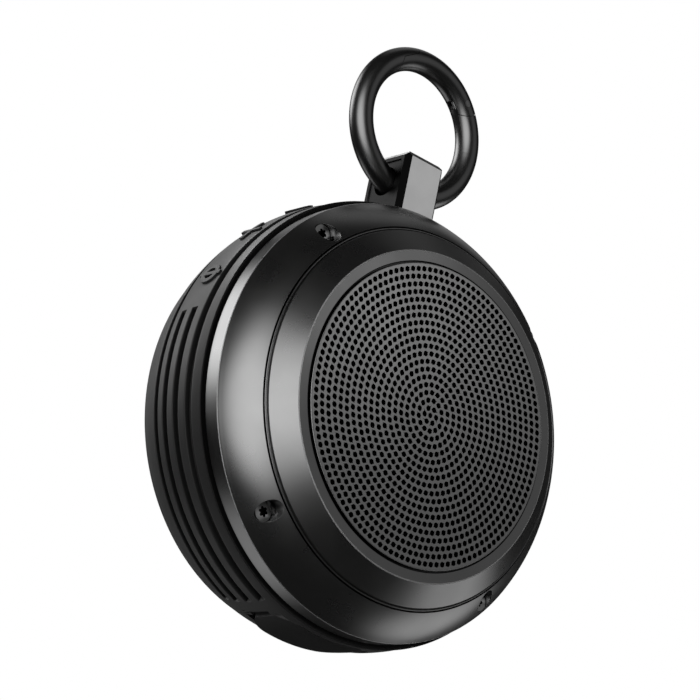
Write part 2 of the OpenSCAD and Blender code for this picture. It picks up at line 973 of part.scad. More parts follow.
module voice_coil() {
    color([0.75, 0.4, 0.2])
        turn([[coil_r - 0.25, cone_neck_y + 0.1], [coil_r, cone_neck_y + 0.1], [coil_r, -7.6], [coil_r + 0.45, -7.6],
              [coil_r + 0.45, -2.6], [coil_r - 0.25, -2.6]]);
}

module speaker_cone() {
    color([0.05, 0.05, 0.05])
        turn([[coil_r + 0.03, cone_neck_y], [coil_r + 0.5, cone_neck_y], [cone_edge_r, cone_edge_y + 0.45],
              [cone_edge_r + 1.2, cone_edge_y + 0.45], [cone_edge_r + 1.2, cone_edge_y],
              [cone_edge_r, cone_edge_y], [coil_r + 0.03, cone_neck_y - 0.6]]);
}

module dust_cap() {
    color([0.07, 0.07, 0.07])
        turn(concat(
            [for (i = [0:8]) let (r = 10.2 * i / 8) [r, -17.25 + 2.9 * (r / 10.2) * (r / 10.2)]],
            [for (i = [8:-1:0]) let (r = 10 * i / 8) [r, -16.8 + 2.7 * (r / 10) * (r / 10)]]
        ));
}

module surround() {
    roll_c = [26.1, cone_edge_y - 0.5];
    color([0.04, 0.04, 0.04])
        turn(concat(
            [[cone_edge_r, cone_edge_y - 0.02], [cone_edge_r, cone_edge_y - 0.4]],
            arc_points(roll_c, 2.1, 180, 349, 12),
            [[30.6, basket_front_y - 0.3], [30.6, basket_front_y - 0.02], [27.9, basket_front_y - 0.02]],
            arc_points(roll_c, 1.7, 355, 184, 12),
            [[24.2, cone_edge_y - 0.02]]
        ));
}

module spider() {
    color([0.75, 0.6, 0.3])
        turn(concat(
            [for (i = [0:20]) let (r = coil_r + 0.05 + 10.6 * i / 20) [r, -10.6 + 0.35 * sin(i * 90)]],
            [for (i = [20:-1:0]) let (r = coil_r + 0.05 + 10.6 * i / 20) [r, -10.25 + 0.35 * sin(i * 90)]]
        ));
}

module speaker_terminals() {
    color([0.8, 0.7, 0.4])
        for (s = [-1, 1])
            translate([s * 3 - 1, -16.6, -33.6])
                cube([2, 0.6, 3.4]);
}

module speaker_leads() {
    color([0.6, 0.1, 0.1])
        for (s = [-1, 1])
            sweep_tube(wire_path([[s * 3, -15.95, -32.8], [s * 3, -8, -32.8],
                                  [s * 1.4 - 7.5, -2, -25], [s * 1.4 - 7.5, 4.9, -25]], 14), 0.45, 8);
}

front_ring();
grille_bezel();
grille();
grille_cloth();
front_seal();
front_screws();
main_housing();
silicone_band();
rear_cover();
rear_screws();
rear_foot();
hang_lug();
lug_plate();
lug_screws();
ring_body();
ring_gate();
gate_rivet();
gate_plunger();
gate_spring();
pair_key();
plus_key();
play_key();
minus_key();
pair_switch_pin();
plus_switch_pin();
play_switch_pin();
minus_switch_pin();
switch_bodies();
button_board();
port_flap();
port_frame();
usb_socket();
aux_jack();
port_board();
main_board();
board_parts();
board_screws();
battery();
battery_pad();
battery_leads();
speaker_basket();
speaker_gasket();
speaker_screws();
top_plate();
magnet();
pole_yoke();
voice_coil();
speaker_cone();
dust_cap();
surround();
spider();
speaker_terminals();
speaker_leads();
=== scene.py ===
"""Visual model of a round clip-on shower speaker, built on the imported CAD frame.

The body is turned about the Y axis and faces -Y. A section point is (radius, y) in millimetres, and an
angle runs from +X towards +Z, as seen from the front.
"""

import math

import bmesh
import bpy
from mathutils import Matrix, Vector


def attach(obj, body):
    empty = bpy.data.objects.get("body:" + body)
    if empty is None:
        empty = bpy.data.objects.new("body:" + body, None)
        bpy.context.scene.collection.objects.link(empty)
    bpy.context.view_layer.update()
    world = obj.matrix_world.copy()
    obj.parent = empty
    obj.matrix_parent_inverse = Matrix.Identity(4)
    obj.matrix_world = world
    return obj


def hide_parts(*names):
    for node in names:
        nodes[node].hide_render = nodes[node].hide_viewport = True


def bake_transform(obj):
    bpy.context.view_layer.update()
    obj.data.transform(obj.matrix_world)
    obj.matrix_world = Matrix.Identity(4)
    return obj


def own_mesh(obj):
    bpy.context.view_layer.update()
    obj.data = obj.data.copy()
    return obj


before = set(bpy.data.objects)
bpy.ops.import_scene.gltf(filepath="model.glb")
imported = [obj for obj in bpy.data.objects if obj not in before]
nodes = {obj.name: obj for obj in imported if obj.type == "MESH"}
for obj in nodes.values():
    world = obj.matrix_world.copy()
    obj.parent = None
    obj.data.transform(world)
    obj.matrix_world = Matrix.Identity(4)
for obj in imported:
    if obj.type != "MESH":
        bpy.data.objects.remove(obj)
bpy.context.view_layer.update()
MM = 0.001

# Sizes shared with the CAD, in millimetres and degrees
SEAM_R = 39.4
SEAM_W = 0.35
SEAM_FLOOR_Y = -16.2
RIM_R = 45.9
SHELL_STEP_Y = -12.3
SHELL_BACK_Y = -8.3
SHELL_STEP_R = 40.85
HOUSING_R = 44.4
SHELL_FIT_R = HOUSING_R + 0.15
SCREW_RING_R = 42.2
SCREW_ANGLES = (45, 135, 225, 315)
SCREW_SEAT_Y = -13.6
SCREW_TOP_Y = -15.0
POCKET_R = 2.12
POCKET_OPEN_Y = -24
LIP_Y = -23.4
LIP_R = 34.3
BEZEL_BACK_Y = -19.8

# The grille: HOLES_PER_RING times its number is the count of holes in a ring
GRILLE_R = 31.7
GRILLE_FRONT_Y = -23.9
GRILLE_T = 0.8
GRILLE_EDGE_R = 0.22
GRILLE_STEPS = 480
HOLE_RINGS = 19
HOLES_PER_RING = 6.4
HOLE_PITCH = 1.6
HOLE_R = 0.53
HOLE_PHASE = 4.0
CELL_SIDE = 5
CENTRE_SIDES = 16
# (width added to HOLE_R, depth below the front)
HOLE_PROFILE = ((0.06, 0.0), (0.015, 0.02), (0.0, 0.08), (0.0, GRILLE_T))

# The rubber band: its outside is an arc of radius BAND_ARC, highest at BAND_MID_Y
BAND_R = 47.3
BAND_ARC = 36.0
BAND_MID_Y = -1.5
BAND_FRONT_Y = -8.1
BAND_LIP_DEPTH = 1.3
BAND_LIP_R = 0.2
BAND_STEP = 0.3
BAND_BACK_Y = 15.3
GROOVE_Y = (-4.3, -0.23, 3.84, 7.9)
GROOVE_W = 1.8
GROOVE_DEPTH = 1.4
GROOVE_END = 0.3
# (distance outside the groove's edge, share of its depth)
GROOVE_PROFILE = ((0.2, 0.0), (0.1, 0.02), (0.03, 0.08), (0.0, 0.2), (-0.03, 0.75), (-0.1, 0.93),
                  (-0.25, 1.0))
GROOVES_OVER_TOP = (0, 3)
PANEL_TOP = 168.3
PANEL_LOW = 248.0

# The lug, and the keys; a bar is (u of its middle, half length along u, half length along v)
LUG_W = 11.0
LUG_T = 13.2
LUG_CHAMFER = 1.2
LUG_GAP = 0.15
LUG_CUT_Z = (35, 60)
KEY_Y = 0.3
KEY_GAP = 0.12
KEYS = ((158, "pair"), (140, "plus"), (122, "play"), (58, "minus"))
KEY_CUT = (43.5, 49.5)
PAIR_RING_R = 2.5
PLAY_TIP, PLAY_HEEL, PLAY_HALF = 3.2, 0.3, 2.1
KEY_BARS = {
    "pair": ((0, 0.45, 3.2),),
    "plus": ((0, 3.5, 0.5), (0, 0.5, 2.9)),
    "play": ((-0.95, 0.45, 2.1), (-2.55, 0.45, 2.1)),
    "minus": ((0, 3.3, 0.5),),
}

# The port flap and its hinge
FLAP_HALF_ANGLE = 16.5
FLAP_HALF_W = 6.5
FLAP_GAP = 0.15
FLAP_PIN_ANGLE = 252.3
FLAP_PIN_ORBIT = 46.25
FLAP_PIN_HALF = 5.4
FLAP_PIN_ROOM_R = 0.68
FLAP_WEB_HALF = 3.0
FLAP_ROOM = 4.0
FLAP_ROOM_DEEP = 6
FLAP_CUT_Z = (-52, -40)

# The carabiner ring, and the spring of its gate
RING_R = 15.55
RING_Z = 69.9
RIVET_ANGLE = 43.4
PLUNGER_OFF = 1.62
SPRING_LOW = -7.0
SPRING_LENGTH = 3.3
SPRING_TURNS = 6
SPRING_TURN_STEPS = 24
SPRING_INSET = 0.15
SPRING_R = 0.33
SPRING_WIRE_R = 0.11

# Soft parts of the driver
FLEX_SECTORS = 16
SECTOR_STEPS = 12
ROLL = (26.1, -19.2)
ROLL_OUT_R, ROLL_IN_R = 2.1, 1.7
SPIDER_R = 8.2
SPIDER_W = 10.6
SPIDER_WAVES = 5
SPIDER_HEIGHT = 0.35
SPIDER_STEPS = 60
SPIDER_FRONT_Y, SPIDER_BACK_Y = -10.6, -10.25

# Angles in degrees above which an edge stays sharp
SHARP = 32
SHARP_CAD = 30
SHARP_FRONT = 16
SHARP_BAND = 50
SHARP_GRILLE = 40

FLOOR_HALF = 3000
FLOOR_Z = -300
FLOOR_T = 4
WHITE = (1, 1, 1, 1)
SHADE_SAMPLES = 8


# ---------------------------------------------------------------- mesh helpers

def polar(angle, radius):
    """(x, z) of a point at an angle and a radius."""
    a = math.radians(angle)
    return radius * math.cos(a), radius * math.sin(a)


def turned_point(r, y, angle):
    """Section point (r, y) turned to an angle, in metres."""
    x, z = polar(angle, r)
    return Vector((x, y, z)) * MM


def mirrored(angle):
    """The same height on the other side of the object."""
    return (180 - angle) % 360


def rounded(corners, steps):
    """Outline from (radius, y, fillet) corners, each fillet in the given number of steps."""
    out = []
    count = len(corners)
    for i, (r, y, fillet) in enumerate(corners):
        here = Vector((r, y))
        if fillet <= 0:
            out.append((r, y))
            continue
        before = (Vector(corners[i - 1][:2]) - here).normalized()
        after = (Vector(corners[(i + 1) % count][:2]) - here).normalized()
        half = before.angle(after) / 2
        reach = fillet / math.tan(half)
        centre = here + (before + after).normalized() * fillet / math.sin(half)
        start = here + before * reach - centre
        turn = start.angle_signed(here + after * reach - centre)
        for k in range(steps + 1):
            spoke = start.copy()
            spoke.rotate(Matrix.Rotation(-turn * k / steps, 2))
            out.append(tuple(centre + spoke))
    return out


def bowed(p, q, height, steps):
    """Points of a shallow arc from p to q that stands a height proud on its left side."""
    p, q = Vector(p), Vector(q)
    along = q - p
    side = Vector((-along.y, along.x)).normalized()
    rows = []
    for i in range(steps + 1):
        t = i / steps
        rows.append(tuple(p + along * t + side * height * 4 * t * (1 - t)))
    return rows


def arc(centre, radius, a0, a1, steps):
    """Points along an arc, from angle a0 to a1."""
    rows = []
    for i in range(steps + 1):
        x, y = polar(a0 + (a1 - a0) * i / steps, radius)
        rows.append((centre[0] + x, centre[1] + y))
    return rows


def box_outline(u, v, half_u, half_v):
    """Rectangle about the middle (u, v)."""
    left, right, low, high = u - half_u, u + half_u, v - half_v, v + half_v
    return [(left, low), (right, low), (right, high), (left, high)]


def upright(u, v, w):
    """Placing for prism() that pushes the outline along Z."""
    return u, v, w


def shade(obj, sharp_angle=SHARP):
    """Smooth faces, with an edge left sharp where its faces meet at more than the given angle."""
    bm = bmesh.new()
    bm.from_mesh(obj.data)
    limit = math.radians(sharp_angle)
    for f in bm.faces:
        f.smooth = True
    for e in bm.edges:
        e.smooth = len(e.link_faces) == 2 and e.calc_face_angle(0) < limit
    bm.to_mesh(obj.data)
    bm.free()
    return obj


def build(name, verts, faces, sharp_angle=SHARP):
    """Object from corner points and faces, with doubles merged and every face looking outwards."""
    mesh = bpy.data.meshes.new(name)
    mesh.from_pydata([tuple(v) for v in verts], [], faces)
    bm = bmesh.new()
    bm.from_mesh(mesh)
    bmesh.ops.remove_doubles(bm, verts=bm.verts, dist=1e-7)
    bmesh.ops.recalc_face_normals(bm, faces=bm.faces)
    bm.to_mesh(mesh)
    bm.free()
    obj = bpy.data.objects.new(name, mesh)
    bpy.context.scene.collection.objects.link(obj)
    return shade(obj, sharp_angle)


def swept(name, outlines, closed=False, sharp_angle=SHARP):
    """Skin over a run of outlines with equal counts of points, capped when the run isn't closed."""
    count, columns = len(outlines[0]), len(outlines)
    faces = []
    if not closed:
        faces.append(tuple(range(count)))
        faces.append(tuple(range(columns * count - 1, (columns - 1) * count - 1, -1)))
    for i in range(columns if closed else columns - 1):
        j = (i + 1) % columns
        for k in range(count):
            m = (k + 1) % count
            faces.append((i * count + k, i * count + m, j * count + m, j * count + k))
    return build(name, [point for outline in outlines for point in outline], faces, sharp_angle)


def lathe(name, section, a0=0.0, a1=360.0, steps=360):
    """Closed section turned about Y, capped when it isn't a full turn."""
    full = a1 - a0 == 360
    angles = [a0 + (a1 - a0) * i / steps for i in range(steps if full else steps + 1)]
    return swept(name, [[turned_point(r, y, a) for r, y in section] for a in angles], full)


def rod(name, base, low, high, radius, steps):
    """Round rod along Y, from low to high as seen from its base point."""
    axis = Vector((0, 1, 0))
    side = axis.orthogonal().normalized()
    up = axis.cross(side)
    outlines = []
    for along in (low, high):
        ring = []
        for i in range(steps):
            a = 2 * math.pi * i / steps
            across = side * radius * math.cos(a)
            over = up * radius * math.sin(a)
            ring.append((Vector(base) + axis * along + across + over) * MM)
        outlines.append(ring)
    return swept(name, outlines)


def prism(name, outline, place, low, high):
    """Outline of (u, v) points pushed from low to high along w; place turns (u, v, w) into a point in mm."""
    return swept(name, [[Vector(place(u, v, w)) * MM for u, v in outline] for w in (low, high)])


def tube(name, path, radius, sides=12):
    """Round wire along a path of points in millimetres."""
    path = [Vector(p) for p in path]
    last = len(path) - 1
    outlines = []
    for i, here in enumerate(path):
        heading = (path[min(i + 1, last)] - path[max(i - 1, 0)]).normalized()
        side = heading.cross(Vector((0, 1, 0))).normalized()
        up = heading.cross(side)
        ring = []
        for k in range(sides):
            u, v = polar(360 * k / sides, radius)
            ring.append((here + side * u + up * v) * MM)
        outlines.append(ring)
    return swept(name, outlines)


def carve(obj, cutters, sharp_angle):
    """Cuts the cutters out of obj and removes them."""
    for cutter in cutters:
        modifier = obj.modifiers.new("carve", "BOOLEAN")
        modifier.operation = "DIFFERENCE"
        modifier.solver = "EXACT"
        modifier.object = cutter
    bpy.context.view_layer.update()
    graph = bpy.context.evaluated_depsgraph_get()
    mesh = bpy.data.meshes.new_from_object(obj.evaluated_get(graph))
    obj.modifiers.clear()
    obj.data = mesh
    for cutter in cutters:
        bpy.data.objects.remove(cutter)
    shade(obj, sharp_angle)


def soften(obj, width, limit):
    """Rounds the edges of obj sharper than limit degrees, by a small width in millimetres."""
    modifier = obj.modifiers.new("soft edges", "BEVEL")
    modifier.width = width * MM
    modifier.segments = 2
    modifier.limit_method = "ANGLE"
    modifier.angle_limit = math.radians(limit)
    modifier.harden_normals = True
    modifier.use_clamp_overlap = True


def level_faces(obj):
    """Lets the large faces keep their own direction, so that only the small edge faces look rounded."""
    modifier = obj.modifiers.new("level faces", "WEIGHTED_NORMAL")
    modifier.keep_sharp = True
    modifier.weight = 90


# ---------------------------------------------------------------- materials

def material(name):
    """New material, its node tree and its main shader."""
    mat = bpy.data.materials.new(name)
    mat.use_nodes = True
    tree = mat.node_tree
    bsdf = tree.nodes["Principled BSDF"]
    return mat, tree, bsdf


def node(tree, kind, **settings):
    """New shader node; a setting named in_NAME is the value of the input NAME."""
    made = tree.nodes.new(kind)
    for key, value in settings.items():
        if key.startswith("in_"):
            made.inputs[key[3:].replace("_", " ")].default_value = value
        else:
            setattr(made, key, value)
    return made


def noise(tree, coords, scale, detail=3.0):
    made = node(tree, "ShaderNodeTexNoise", in_Scale=scale, in_Detail=detail, in_Roughness=0.6)
    tree.links.new(coords, made.inputs["Vector"])
    return made.outputs["Fac"]


def spread(tree, value, low, high, start=0.3, end=0.7, **settings):
    """Maps value, from start to end, onto low to high."""
    made = node(tree, "ShaderNodeMapRange", **settings)
    tree.links.new(value, made.inputs["Value"])
    made.inputs["From Min"].default_value = start
    made.inputs["From Max"].default_value = end
    made.inputs["To Min"].default_value = low
    made.inputs["To Max"].default_value = high
    return made.outputs["Result"]


def bump(tree, bsdf, height, distance, strength):
    """Fine relief of a distance in millimetres."""
    made = node(tree, "ShaderNodeBump", in_Strength=strength, in_Distance=distance * MM)
    tree.links.new(height, made.inputs["Height"])
    tree.links.new(made.outputs["Normal"], bsdf.inputs["Normal"])


def tone(tree, bsdf, value, dark, light):
    """Base colour between dark and light."""
    ramp = node(tree, "ShaderNodeValToRGB")
    for element, position, colour in zip(ramp.color_ramp.elements, (0.3, 0.7), (dark, light)):
        element.position = position
        element.color = (*colour, 1)
    tree.links.new(value, ramp.inputs["Fac"])
    tree.links.new(ramp.outputs["Color"], bsdf.inputs["Base Color"])


def grey(value):
    return value, value, value


def darkened(tree, bsdf, share):
    """Scales the base colour by a share from 0 to 1."""
    colour = bsdf.inputs["Base Color"].links[0].from_socket
    scaled = node(tree, "ShaderNodeVectorMath", operation="SCALE")
    tree.links.new(colour, scaled.inputs[0])
    tree.links.new(share, scaled.inputs["Scale"])
    tree.links.new(scaled.outputs["Vector"], bsdf.inputs["Base Color"])


def finish_material(name, dark, light, rough, metallic=0.0, grain=900.0, grain_height=0.01,
                    grain_strength=0.15, coat=0.0, specular=0.5, sheen=0.0, crevice=0.0, shaded_behind=None):
    """Paint, plastic, rubber or metal: cloudy tone, patchy roughness and a fine grain.

    crevice is the reach in millimetres of the painted shade that darkens narrow grooves; shaded_behind is
    the y beyond which the base colour is painted near black, as painted shade inside punched holes.
    """
    mat, tree, bsdf = material(name)
    coords = node(tree, "ShaderNodeTexCoord").outputs["Object"]
    tone(tree, bsdf, noise(tree, coords, 45.0), dark, light)
    # painted shade: ambient occlusion darkens the base colour and lowers the specular in narrow grooves
    if crevice:
        shade_node = node(tree, "ShaderNodeAmbientOcclusion", samples=SHADE_SAMPLES,
                          in_Distance=crevice * MM)
        darkened(tree, bsdf, spread(tree, shade_node.outputs["AO"], 0.08, 1.0, 0.35, 0.95))
        shine = spread(tree, shade_node.outputs["AO"], 0.05, specular, 0.35, 0.95)
        tree.links.new(shine, bsdf.inputs["Specular IOR Level"])
    # painted shade: beyond the given y the base colour fades to near black, as inside holes and pockets
    if shaded_behind is not None:
        split = node(tree, "ShaderNodeSeparateXYZ")
        tree.links.new(coords, split.inputs["Vector"])
        edge = shaded_behind * MM
        darkened(tree, bsdf, spread(tree, split.outputs["Y"], 1.0, 0.02, edge, edge + 0.05 * MM))
    patchy = spread(tree, noise(tree, coords, 120.0, 5.0), rough[0], rough[1])
    tree.links.new(patchy, bsdf.inputs["Roughness"])
    bump(tree, bsdf, noise(tree, coords, grain, 2.0), grain_height, grain_strength)
    bsdf.inputs["Metallic"].default_value = metallic
    bsdf.inputs["Specular IOR Level"].default_value = specular
    bsdf.inputs["Coat Weight"].default_value = coat
    bsdf.inputs["Coat Roughness"].default_value = 0.12
    bsdf.inputs["Sheen Weight"].default_value = sheen
    bsdf.inputs["Sheen Roughness"].default_value = 0.5
    return mat


def turned_metal(name, value, rough):
    """Anodised turned metal: faint rings left by the tool, about the Y axis."""
    mat, tree, bsdf = material(name)
    coords = node(tree, "ShaderNodeTexCoord").outputs["Object"]
    split = node(tree, "ShaderNodeSeparateXYZ")
    tree.links.new(coords, split.inputs["Vector"])
    flat = node(tree, "ShaderNodeCombineXYZ")
    tree.links.new(split.outputs["X"], flat.inputs["X"])
    tree.links.new(split.outputs["Z"], flat.inputs["Z"])
    radius = node(tree, "ShaderNodeVectorMath", operation="LENGTH")
    tree.links.new(flat.outputs["Vector"], radius.inputs[0])
    along = node(tree, "ShaderNodeCombineXYZ")
    tree.links.new(radius.outputs["Value"], along.inputs["X"])
    tree.links.new(split.outputs["Y"], along.inputs["Y"])
    rings = noise(tree, along.outputs["Vector"], 5200.0, 2.0)
    tone(tree, bsdf, noise(tree, coords, 30.0), grey(value * 0.93), grey(value * 1.07))
    # painted shade: the base colour is darkened where ambient occlusion finds recesses, such as pockets and
    # the seam
    shade_node = node(tree, "ShaderNodeAmbientOcclusion", samples=SHADE_SAMPLES, in_Distance=2.5 * MM)
    darkened(tree, bsdf, spread(tree, shade_node.outputs["AO"], 0.1, 1.0, 0.45, 0.8))
    patchy = spread(tree, noise(tree, coords, 90.0, 4.0), rough[0], rough[1])
    tree.links.new(patchy, bsdf.inputs["Roughness"])
    bump(tree, bsdf, rings, 0.01, 0.02)
    bsdf.inputs["Metallic"].default_value = 1.0
    return mat


def front_lit_metal(name, lit_face_value, shaded_side_value, rough):
    """Metal with painted light on its face towards -Y and painted shade, near black, on its other sides, in
    place of the reflections of satin metal.
    """
    mat, tree, bsdf = material(name)
    coords = node(tree, "ShaderNodeTexCoord").outputs["Object"]
    facing = node(tree, "ShaderNodeSeparateXYZ")
    geometry = node(tree, "ShaderNodeNewGeometry")
    tree.links.new(geometry.outputs["True Normal"], facing.inputs["Vector"])
    share = spread(tree, facing.outputs["Y"], 1.0, 0.0, -0.99, -0.96)
    cloud = spread(tree, noise(tree, coords, 60.0), 0.97, 1.03)
    blend = spread(tree, share, shaded_side_value, lit_face_value, 0.0, 1.0)
    level = node(tree, "ShaderNodeMath", operation="MULTIPLY")
    tree.links.new(blend, level.inputs[0])
    tree.links.new(cloud, level.inputs[1])
    colour = node(tree, "ShaderNodeCombineColor")
    for channel in ("Red", "Green", "Blue"):
        tree.links.new(level.outputs["Value"], colour.inputs[channel])
    tree.links.new(colour.outputs["Color"], bsdf.inputs["Base Color"])
    patchy = spread(tree, noise(tree, coords, 150.0, 4.0), rough[0], rough[1])
    tree.links.new(patchy, bsdf.inputs["Roughness"])
    bump(tree, bsdf, noise(tree, coords, 3000.0, 2.0), 0.01, 0.05)
    bsdf.inputs["Metallic"].default_value = 1.0
    return mat


MATERIALS = {
    "shell": turned_metal("satin_black_shell", 0.32, (0.26, 0.32)),
    # painted highlight: light metal for the thin bright line along edge chamfers
    "edge": finish_material("shell_edge", grey(0.9), grey(0.98), (0.5, 0.54), metallic=1.0,
                            grain_strength=0.02),
    # painted shade: the grille is painted near black behind its front face, inside the holes
    "grille": finish_material("grille_paint", grey(0.44), grey(0.49), (0.34, 0.4), metallic=1.0,
                              grain=2500, grain_strength=0.05, shaded_behind=GRILLE_FRONT_Y + 0.04),
    # painted shade: the crevice setting darkens the band's grooves
    "band": finish_material("band_silicone", grey(0.022), grey(0.03), (0.42, 0.52), grain=2600,
                            grain_height=0.012, grain_strength=0.12, specular=0.45, sheen=0.08, crevice=2.2),
    "key": finish_material("key_silicone", grey(0.02), grey(0.03), (0.4, 0.5), grain=2600,
                           grain_height=0.012, grain_strength=0.12),
    # painted light on the lug's front face, painted shade on its sides and chamfers
    "lug": front_lit_metal("lug_paint", 0.78, 0.004, (0.3, 0.36)),
    "ring": finish_material("ring_gloss", grey(0.23), grey(0.27), (0.28, 0.32), metallic=1.0, grain=700,
                            grain_strength=0.02),
    "black_screw": finish_material("screw_black", grey(0.42), grey(0.5), (0.3, 0.36), metallic=1.0),
    # painted shade: the screws are painted near black below their tops, down in their pockets
    "front_screw": finish_material("screw_face", grey(0.5), grey(0.58), (0.3, 0.36), metallic=1.0,
                                   shaded_behind=SCREW_TOP_Y + 0.05),
    "steel": finish_material("plain_steel", grey(0.5), grey(0.6), (0.25, 0.35), metallic=1.0),
    "tub": finish_material("tub_plastic", grey(0.02), grey(0.03), (0.5, 0.6), grain=1500,
                           grain_strength=0.25),
    "foot": finish_material("foot_rubber", grey(0.02), grey(0.03), (0.6, 0.75), grain=1800,
                            grain_strength=0.3),
    "seal": finish_material("seal_rubber", grey(0.05), grey(0.07), (0.6, 0.7)),
    "board": finish_material("board_green", (0.01, 0.09, 0.04), (0.015, 0.13, 0.06), (0.3, 0.4), coat=0.3),
    "chip": finish_material("chip_black", grey(0.02), grey(0.035), (0.4, 0.55)),
    "pin": finish_material("pin_plastic", (0.6, 0.56, 0.45), (0.68, 0.64, 0.54), (0.4, 0.5)),
    "cell": finish_material("cell_wrap", (0.08, 0.14, 0.24), (0.1, 0.17, 0.28), (0.25, 0.35), coat=0.3),
    "foam": finish_material("foam_pad", grey(0.05), grey(0.08), (0.85, 0.95), grain=1200, grain_height=0.05,
                            grain_strength=0.6),
    "wire": finish_material("wire_red", (0.35, 0.02, 0.015), (0.42, 0.03, 0.02), (0.3, 0.4)),
    "basket": finish_material("basket_black", grey(0.04), grey(0.06), (0.4, 0.5), metallic=0.6),
    "ferrite": finish_material("ferrite", grey(0.06), grey(0.09), (0.6, 0.75), grain=1200,
                               grain_strength=0.4),
    "copper": finish_material("coil_copper", (0.55, 0.24, 0.1), (0.62, 0.3, 0.14), (0.25, 0.35),
                              metallic=1.0),
    "paper": finish_material("cone_paper", grey(0.015), grey(0.03), (0.7, 0.85), grain=700,
                             grain_height=0.04, grain_strength=0.5),
    "spider": finish_material("spider_cloth", (0.42, 0.3, 0.12), (0.5, 0.36, 0.16), (0.8, 0.9)),
    "brass": finish_material("tag_brass", (0.6, 0.42, 0.16), (0.66, 0.48, 0.2), (0.25, 0.35),
                             metallic=1.0),
    "cloth": finish_material("acoustic_cloth", grey(0.004), grey(0.008), (0.9, 0.97), grain=2500,
                             grain_height=0.05, grain_strength=0.6, specular=0.1),
}
NODE_FINISH = {
    "front_ring": "shell", "grille_bezel": "shell", "grille": "grille", "grille_cloth": "cloth",
    "front_seal": "seal", "front_screws": "front_screw", "main_housing": "tub", "silicone_band": "band",
    "rear_cover": "tub", "rear_screws": "black_screw", "rear_foot": "foot", "hang_lug": "lug",
    "lug_plate": "steel", "lug_screws": "steel", "ring_body": "ring", "ring_gate": "ring",
    "gate_rivet": "black_screw", "gate_plunger": "steel", "gate_spring": "steel",
    "pair_key": "key", "plus_key": "key", "play_key": "key", "minus_key": "key",
    "pair_switch_pin": "pin", "plus_switch_pin": "pin", "play_switch_pin": "pin",
    "minus_switch_pin": "pin", "switch_bodies": "chip", "button_board": "board", "port_flap": "key",
    "port_frame": "tub", "usb_socket": "steel", "aux_jack": "chip", "port_board": "board",
    "main_board": "board", "board_parts": "chip", "board_screws": "steel", "battery": "cell",
    "battery_pad": "foam", "battery_leads": "wire", "speaker_basket": "basket",
    "speaker_gasket": "seal", "speaker_screws": "steel", "top_plate": "steel", "magnet": "ferrite",
    "pole_yoke": "steel", "voice_coil": "copper", "speaker_cone": "paper", "dust_cap": "paper",
    "surround": "seal", "spider": "spider", "speaker_terminals": "brass", "speaker_leads": "wire",
}
for name, finish in NODE_FINISH.items():
    nodes[name].data.materials.clear()
    nodes[name].data.materials.append(MATERIALS[finish])


def dress(obj, finish, slot, body, *replaced):
    """Gives a new piece its material and its body, and hides the CAD nodes it stands for; slot is not used.
    """
    obj.data.materials.clear()
    obj.data.materials.append(MATERIALS[finish])
    if replaced:
        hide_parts(*replaced)
    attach(obj, body)


def painted_highlight_edge(obj, low, high):
    """Gives the fine edge faces between two (radius, y) corners a lighter metal colour, a painted highlight
    line along the edge.
    """
    obj.data.materials.append(MATERIALS["edge"])
    for face in obj.data.polygons:
        x, y, z = face.center / MM
        if low[0] < math.hypot(x, z) < high[0] and low[1] < y < high[1]:
            face.material_index = 1


# ---------------------------------------------------------------- front

def screw_pockets():
    """Round pockets that sink the four front screws."""
    made = []
    for angle in SCREW_ANGLES:
        x, z = polar(angle, SCREW_RING_R)
        made.append(rod("pocket", (x, 0, z), POCKET_OPEN_Y, SCREW_SEAT_Y, POCKET_R, 64))
    return made


skirt = bowed((SEAM_R + SEAM_W + 0.16, -19.12), (RIM_R - 0.15, -12.35), -0.5, 24)
rim = rounded([(RIM_R - 0.3, -12.52, 0), (RIM_R, -12.17, 0.3), (RIM_R, SHELL_BACK_Y, 0.2),
               (SHELL_FIT_R, SHELL_BACK_Y, 0)], 1)
inside = [(SHELL_FIT_R, SHELL_STEP_Y), (SHELL_STEP_R, SHELL_STEP_Y), (SHELL_STEP_R, SEAM_FLOOR_Y),
          (SEAM_R + SEAM_W, SEAM_FLOOR_Y)]
seam_lip = arc((SEAM_R + SEAM_W + 0.12, -18.94), 0.12, 180, 255, 4)
front_shell = lathe("front_shell", skirt[:-1] + rim[1:] + inside + seam_lip)
carve(front_shell, screw_pockets(), SHARP_FRONT)
soften(front_shell, 0.1, 34)
level_faces(front_shell)
dress(front_shell, "shell", "front_black", "body", "front_ring")
# painted highlight along the rim's fine chamfer
painted_highlight_edge(front_shell, (RIM_R - 0.14, -12.4), (RIM_R - 0.001, -12.08))

# a fine notch and a rounded bead run along the outer edge of the grille surround
bezel_front = rounded([(31, -23.1, 0), (32, -23.1, 0), (32, LIP_Y, 0.14), (LIP_R, LIP_Y, 0.45),
                       (38.98, -19.82, 0.1), (39.12, -19.3, 0)], 1)
bead = arc((SEAM_R - 0.02, -19.18), 0.18, 200, 340, 8)
bezel_back = [(SEAM_R + 0.16, -19.0), (SEAM_R + 0.16, SEAM_FLOOR_Y), (40.7, SEAM_FLOOR_Y), (40.7, -14.7),
              (37.9, -14.7), (37.9, -17), (LIP_R, -19.2), (LIP_R, BEZEL_BACK_Y), (31, BEZEL_BACK_Y)]
bezel = lathe("grille_surround", bezel_front + bead + bezel_back)
shade(bezel, SHARP_FRONT)
level_faces(bezel)
dress(bezel, "shell", "front_black", "body", "grille_bezel")
# painted highlight along the outer edge of the flat ring
painted_highlight_edge(bezel, (LIP_R - 0.15, -23.399), (LIP_R + 0.15, -23.25))


def cell_outline(middle, half, inner_r, outer_r):
    """Share of a ring that one hole sits in, with CELL_SIDE points along each side."""
    corners = [(middle - half, outer_r), (middle - half, inner_r), (middle + half, inner_r),
               (middle + half, outer_r)]
    outline = []
    for (a0, r0), (a1, r1) in zip(corners, corners[1:] + corners[:1]):
        for i in range(1, CELL_SIDE + 1):
            share = i / CELL_SIDE
            outline.append(polar(a0 + (a1 - a0) * share, r0 + (r1 - r0) * share))
    return outline


